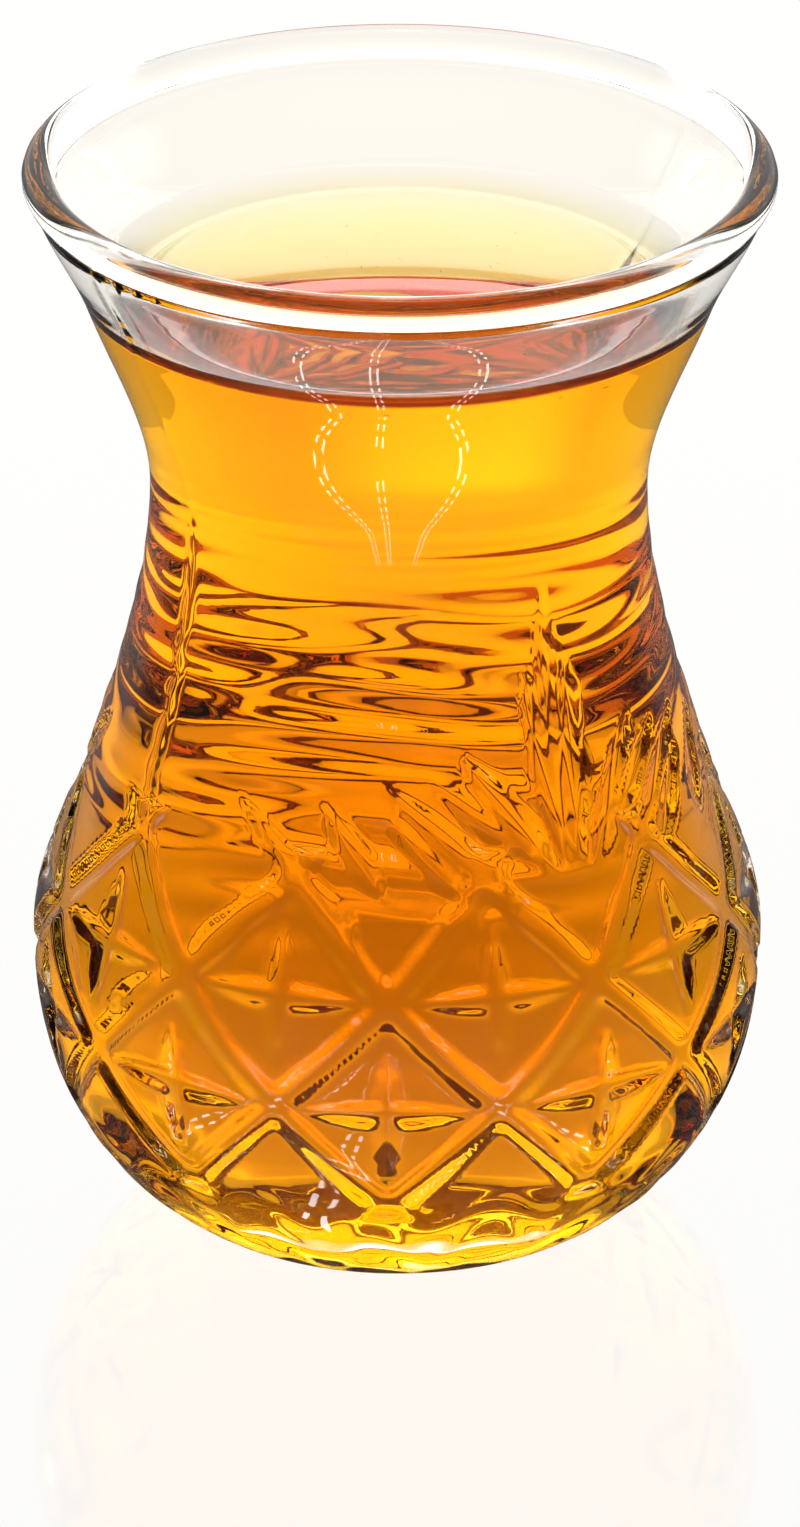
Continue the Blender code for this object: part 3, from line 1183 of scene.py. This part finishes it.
@dataclass(frozen=True)
class TablePaintedLight:
    """Painted light on the table: how the table glows for light that is seen straight, through
    glass, through tea or mirrored. Seen straight it is an even white. Seen through glass or tea
    its glow is warm-tinted painted light and shade, and seen mirrored it is a dim painted
    reflection with rows of painted glints.

    Through tea it is 1 all over, and each of near, behind, past, side and far adds its own number
    where it reaches: near is a painted pool of light under and round the foot, behind is painted
    light that brightens the table from a little behind the glass and leaves it shaded close
    behind, past and side are painted shade further back and at the sides, and far is a painted
    bright patch far behind.
    Through clear glass only near adds. Each span gives the place where that starts and the place
    where
    it is full: ahead is measured backwards from the glass's axis, off sideways from it, and spread
    round from the far patch's own direction. A ray that has crossed fewer surfaces than dry_depth
    met no tea.
    """

    seen: Colour = (0.898, 0.892, 0.875)
    # Warm tints of the painted light seen through clear glass and through tea.
    clear: Colour = (1.0, 0.97, 0.92)
    through: Colour = (1.0, 0.94, 0.86)
    # Painted pool of light under and round the foot of the glass.
    near: float = 1.3
    near_ahead: Pair = (0.03, 0.0)
    near_off: Pair = (0.08, 0.05)
    # Painted light that brightens the table from a little behind the glass.
    behind: float = 1.25
    behind_ahead: Pair = (0.036, 0.085)
    # Painted shade further behind the glass.
    past: float = -0.50
    past_ahead: Pair = (0.13, 0.20)
    # Painted shade at the sides of the glass.
    side: float = -0.6
    side_ahead: Pair = (0.09, 0.03)
    side_off: Pair = (0.055, 0.10)
    # Painted bright patch far behind the glass.
    far: float = 1.5
    far_ahead: Pair = (0.16, 0.36)
    far_turn: float = -0.14
    far_spread: Pair = (0.32, 0.05)
    least_ahead: float = 0.05
    dry_depth: float = 5.5
    # Dim painted reflection, then the rows of painted glints and their brightness, all seen only
    # by mirrored rays.
    mirrored: float = 0.04
    rows: PaintedGlintRows = PaintedGlintRows()
    row_power: float = 9.0

    def shares(self, sketch: ShaderSketch, across: Socket, ahead: Socket) -> tuple[Socket, Socket]:
        """Work out how brightly a place glows with the painted light and shade seen through glass
        and tea.

        Args:
            sketch: The table's tree.
            across: How far the place is to the right.
            ahead: How far it is behind the glass's axis.

        Returns:
            The socket of the share through clear glass, and of the share through tea.
        """
        off = sketch.math("ABSOLUTE", across)
        near = sketch.patch(ahead, self.near_ahead, off, self.near_off)
        near = sketch.math("MULTIPLY_ADD", near, self.near, 1.0)
        turn = sketch.math("DIVIDE", across, sketch.math("MAXIMUM", ahead, self.least_ahead))
        turn = sketch.math("ABSOLUTE", sketch.math("SUBTRACT", turn, self.far_turn))
        parts = (
            (sketch.patch(turn, self.far_spread, ahead, self.far_ahead), self.far),
            (sketch.ease(ahead, *self.behind_ahead), self.behind),
            (sketch.ease(ahead, *self.past_ahead), self.past),
            (sketch.patch(ahead, self.side_ahead, off, self.side_off), self.side),
        )
        share = near
        for part, strength in parts:
            share = sketch.math("MULTIPLY_ADD", part, strength, share)
        return near, share

    def build(self, sketch: ShaderSketch) -> Socket:
        """Work out the colour of the glow, with its painted light and shade and its painted
        glints.

        Args:
            sketch: The table's tree.

        Returns:
            The socket of the colour.
        """
        place = sketch.add("ShaderNodeTexCoord").outputs["Object"]
        across, ahead, _ = sketch.split(place)
        path = sketch.add("ShaderNodeLightPath").outputs
        clear, through = self.shares(sketch, across, ahead)
        dry = sketch.math("LESS_THAN", path["Transmission Depth"], self.dry_depth)
        tea, glass = sketch.tint(through, self.through), sketch.tint(clear, self.clear)
        # Seen straight the table is an even white; seen through glass or tea it shows the painted
        # light and shade.
        seen = sketch.choose(path["Is Camera Ray"], sketch.choose(dry, tea, glass), self.seen)
        # Painted glints and a dim painted reflection, seen only by mirrored rays.
        painted_glints = self.rows.painted_glints(sketch, across, ahead)
        glint = sketch.math("MULTIPLY_ADD", painted_glints, self.row_power, self.mirrored)
        return sketch.choose(path["Is Reflection Ray"], seen, sketch.tint(glint, WHITE))


@dataclass
class TableTop:
    """The glossy white table top, which glows so that it looks evenly white, and whose glow also
    paints light and shade seen through the glass and glints seen mirrored in it.
    """

    half_side: float = 3.0
    drop: float = 0.00002
    roughness: float = 0.08
    index: float = 1.42
    glow: TablePaintedLight = field(default_factory=TablePaintedLight)

    def build(self) -> bpy.types.Object:
        """Lay the table."""
        far = self.half_side
        corners = [(-far, -far), (far, -far), (far, far), (-far, far)]
        mesh = bpy.data.meshes.new("table_top")
        mesh.from_pydata([(x, y, -self.drop) for x, y in corners], [], [(0, 1, 2, 3)])
        settings = {
            "Base Color": (0.0, 0.0, 0.0, 1.0),
            "Roughness": self.roughness,
            "IOR": self.index,
            "Emission Strength": 1.0,
        }
        material = new_material("table_white", settings)
        shader = material.node_tree.nodes["Principled BSDF"]
        sketch = ShaderSketch(material.node_tree)
        # The glow is painted light: an even white seen straight, painted light and shade through
        # the glass, and painted glints when mirrored.
        sketch.link(self.glow.build(sketch), shader.inputs["Emission Color"])
        mesh.materials.append(material)
        table = new_object("table_top", mesh)
        return table


@dataclass
class Room:
    """The light of the room: a bright sweep behind and above the glass, and a dim rest.

    Each span gives the upward or backward part of a direction where something starts, and where
    it is full. A ray that was mirrored after more crossings than inner_depth is tinted.
    """

    sweep: float = 1.4
    sweep_high: float = 2.6
    sweep_high_up: Pair = (0.18, 0.36)
    up_share: float = 0.5
    sweep_lean: Pair = (0.1, 0.5)
    sweep_up: Pair = (0.86, 0.70)
    mirrored_sweep: float = 0.8
    mirrored_back: Pair = (0.45, 0.75)
    overhead: float = 0.5
    overhead_up: Pair = (0.5, 0.7)
    rest: float = 0.04
    inner_depth: float = 1.5
    inner_tint: Colour = (0.85, 0.62, 0.22)

    def build(self) -> None:
        """Light the scene."""
        world = bpy.data.worlds.new("studio")
        bpy.context.scene.world = world
        world.use_nodes = True
        sketch = ShaderSketch(world.node_tree)
        direction = sketch.add("ShaderNodeTexCoord").outputs["Generated"]
        _, back, up = sketch.split(direction)
        path = sketch.add("ShaderNodeLightPath").outputs
        mirrored = path["Is Reflection Ray"]
        direct = sketch.math("SUBTRACT", 1.0, mirrored)
        lean = sketch.math("MULTIPLY_ADD", up, self.up_share, back)
        sweep = sketch.patch(lean, self.sweep_lean, up, self.sweep_up)
        strength = sketch.ease(up, *self.sweep_high_up)
        strength = sketch.math("MULTIPLY_ADD", strength, self.sweep_high, self.sweep)
        strength = sketch.math("MULTIPLY", strength, direct)
        behind = sketch.math("MULTIPLY", sketch.ease(back, *self.mirrored_back), mirrored)
        strength = sketch.math("MULTIPLY_ADD", behind, self.mirrored_sweep, strength)
        over = sketch.math("MULTIPLY", sketch.ease(up, *self.overhead_up), self.overhead)
        over = sketch.math("MULTIPLY_ADD", over, direct, self.rest)
        bright = sketch.math("MULTIPLY_ADD", sweep, strength, over)
        inner = sketch.math("GREATER_THAN", path["Transmission Depth"], self.inner_depth)
        inner = sketch.math("MULTIPLY", inner, mirrored)
        plain, warm = sketch.tint(bright, WHITE), sketch.tint(bright, self.inner_tint)
        glow = sketch.choose(inner, plain, warm)
        glow = sketch.choose(path["Is Camera Ray"], glow, WHITE)
        sketch.link(glow, world.node_tree.nodes["Background"].inputs["Color"])


@dataclass
class Viewpoint:
    """The camera, where the picture was taken from, and how light is followed and shown."""

    distance: float = 1.1471
    height: float = 0.55657
    aside: float = 0.00018
    round_from_front: float = 1.5
    pitch: float = 24.348
    roll: float = 0.206
    lens: float = 368.8
    sensor: float = 36.0
    nearest: float = 0.01
    glass_bounces: int = 24
    mirror_bounces: int = 8

    def camera(self) -> bpy.types.Object:
        """Stand the camera in its place."""
        data = bpy.data.cameras.new("camera")
        data.sensor_width = self.sensor
        data.lens = self.lens
        data.clip_start = self.nearest
        made = new_object("camera", data)
        turn = math.radians(self.round_from_front)
        facing = Euler((math.pi / 2 - math.radians(self.pitch), 0.0, turn)).to_matrix()
        across, along = math.sin(turn), -math.cos(turn)
        place = Vector((self.distance * across, self.distance * along, self.height))
        place += facing @ Vector((self.aside, 0.0, 0.0))
        rolled = facing @ Matrix.Rotation(math.radians(self.roll), 3, "Z")
        made.matrix_world = Matrix.Translation(place) @ rolled.to_4x4()
        bpy.context.scene.camera = made
        return made

    def build(self) -> None:
        """Stand the camera, let light through every wall, and show colours as they are."""
        self.camera()
        scene = bpy.context.scene
        scene.view_settings.view_transform = "Standard"
        scene.cycles.max_bounces = self.glass_bounces
        scene.cycles.transmission_bounces = self.glass_bounces
        scene.cycles.glossy_bounces = self.mirror_bounces
        scene.cycles.caustics_reflective = False
        scene.cycles.caustics_refractive = False
        scene.cycles.use_denoising = True


def main() -> None:
    """Build the glass, the tea, the table, the room's light and the camera, in that order."""
    logging.basicConfig(level=logging.INFO, format="%(message)s")
    shape = GlassShape()
    PressedGlass(shape).build()
    TeaFill(shape).build()
    TeaSpecks().build()
    TableTop().build()
    Room().build()
    Viewpoint().build()


if __name__ == "__main__":
    main()
